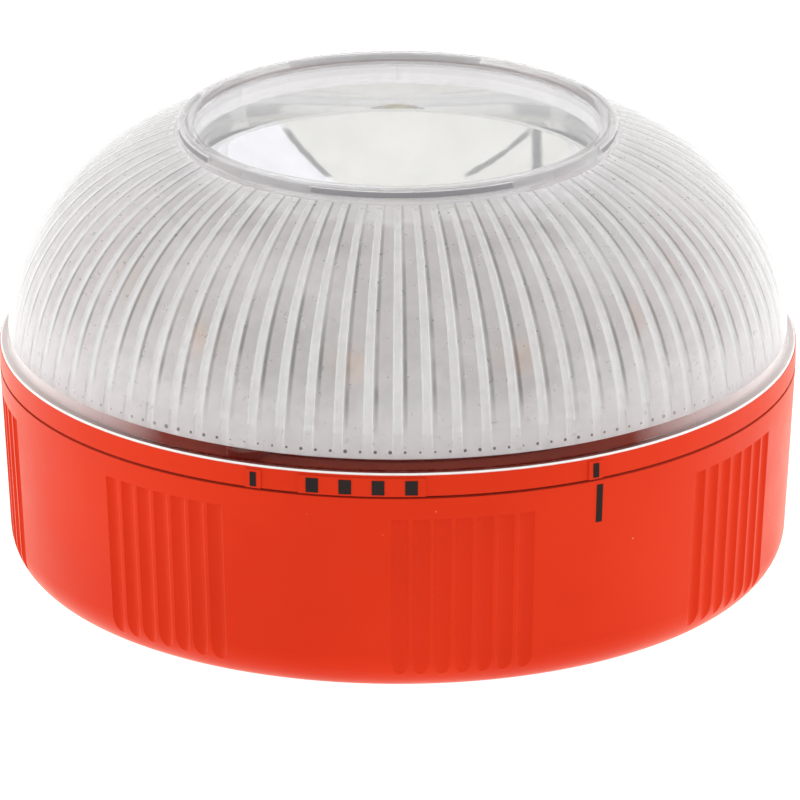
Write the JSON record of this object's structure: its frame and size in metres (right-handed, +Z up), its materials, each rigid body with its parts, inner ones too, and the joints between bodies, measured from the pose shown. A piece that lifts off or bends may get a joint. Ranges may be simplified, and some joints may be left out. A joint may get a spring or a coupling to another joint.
{
  "type": "led safety beacon",
  "caption": "Round magnetic warning beacon: orange fluted base, twist-lock orange collar, clear ribbed dome with torch window, amber lights and battery inside.",
  "frame": {"origin": "centre of the underside, on the surface that the beacon stands on", "axes": "+Z up through the dome and the twist axis, -Y to the front with the index marks, +X to the viewer's right"},
  "size_m": [0.095, 0.0953, 0.0552],
  "materials": {
    "orange_plastic": "moulded orange-red plastic, fine satin texture",
    "black_print": "matt black inlay",
    "clear_plastic": "clear polycarbonate, polished",
    "dark_rubber": "matt rubber",
    "grey_rubber": "grey seal rubber",
    "ferrite": "ground ferrite magnet",
    "white_plastic": "white moulded plastic",
    "chrome_coating": "vacuum-metallised mirror finish",
    "circuit_board": "white solder mask",
    "amber_light": "amber light package",
    "torch_emitter": "yellow phosphor light",
    "aluminium": "machined aluminium",
    "steel": "zinc-plated steel",
    "tinned_copper": "tinned copper",
    "chip_black": "black moulded package",
    "ferrite_core": "shielded inductor",
    "battery_case": "plain painted steel case",
    "red_wire": "red wire insulation",
    "black_wire": "black wire insulation",
    "foam": "closed-cell foam",
    "button_rubber": "black plastic, satin"
  },
  "bodies": {
    "base": {"base_cup": "orange_plastic", "base_mark": "black_print", "foot_pad": "dark_rubber", "ring_magnet": "ferrite", "magnet_cover": "white_plastic", "cover_screws": "steel", "button_spring": "steel"},
    "top": {"collar_ring": "orange_plastic", "collar_marks": "black_print", "seal_ring": "dark_rubber", "dome_lens": "clear_plastic", "window_lens": "clear_plastic", "window_grips": "grey_rubber", "torch_reflector": "chrome_coating", "heat_post": "aluminium", "torch_board": "aluminium", "torch_led": "torch_emitter", "torch_pins": "tinned_copper", "led_drum": "white_plastic", "led_strip": "circuit_board", "amber_leds": "amber_light", "chassis": "orange_plastic", "main_board": "circuit_board", "chassis_screws": "steel", "board_screws": "steel", "driver_chip": "chip_black", "boost_inductor": "ferrite_core", "capacitor": "aluminium", "chip_resistors": "chip_black", "switch_body": "chip_black", "battery": "battery_case", "battery_snaps": "steel", "snap_connector": "chip_black", "battery_lead_red": "red_wire", "battery_lead_black": "black_wire", "battery_cradle": "white_plastic", "cradle_screws": "steel", "battery_pad": "foam"},
    "button": {"power_button": "button_rubber", "rod_clip": "steel"},
    "stem": {"switch_stem": "button_rubber"}
  },
  "joints": [
    {"name": "top_twist", "type": "hinge", "parent": "base", "child": "top", "pos_m": [0, 0, 0], "axis": [0, 0, 1], "range_deg": [0, 49]},
    {"name": "button_press", "type": "slide", "parent": "base", "child": "button", "axis": [0, 0, 1], "range_m": [0, 0.0008], "stiffness_N_per_m": 1500, "deforming": ["button_spring"]},
    {"name": "switch_press", "type": "slide", "parent": "top", "child": "stem", "axis": [0, 0, 1], "range_m": [0, 0.0008]}
  ],
  "couplings": [
    {"joint": "switch_press", "follows": "button_press", "ratio": 1}
  ]
}
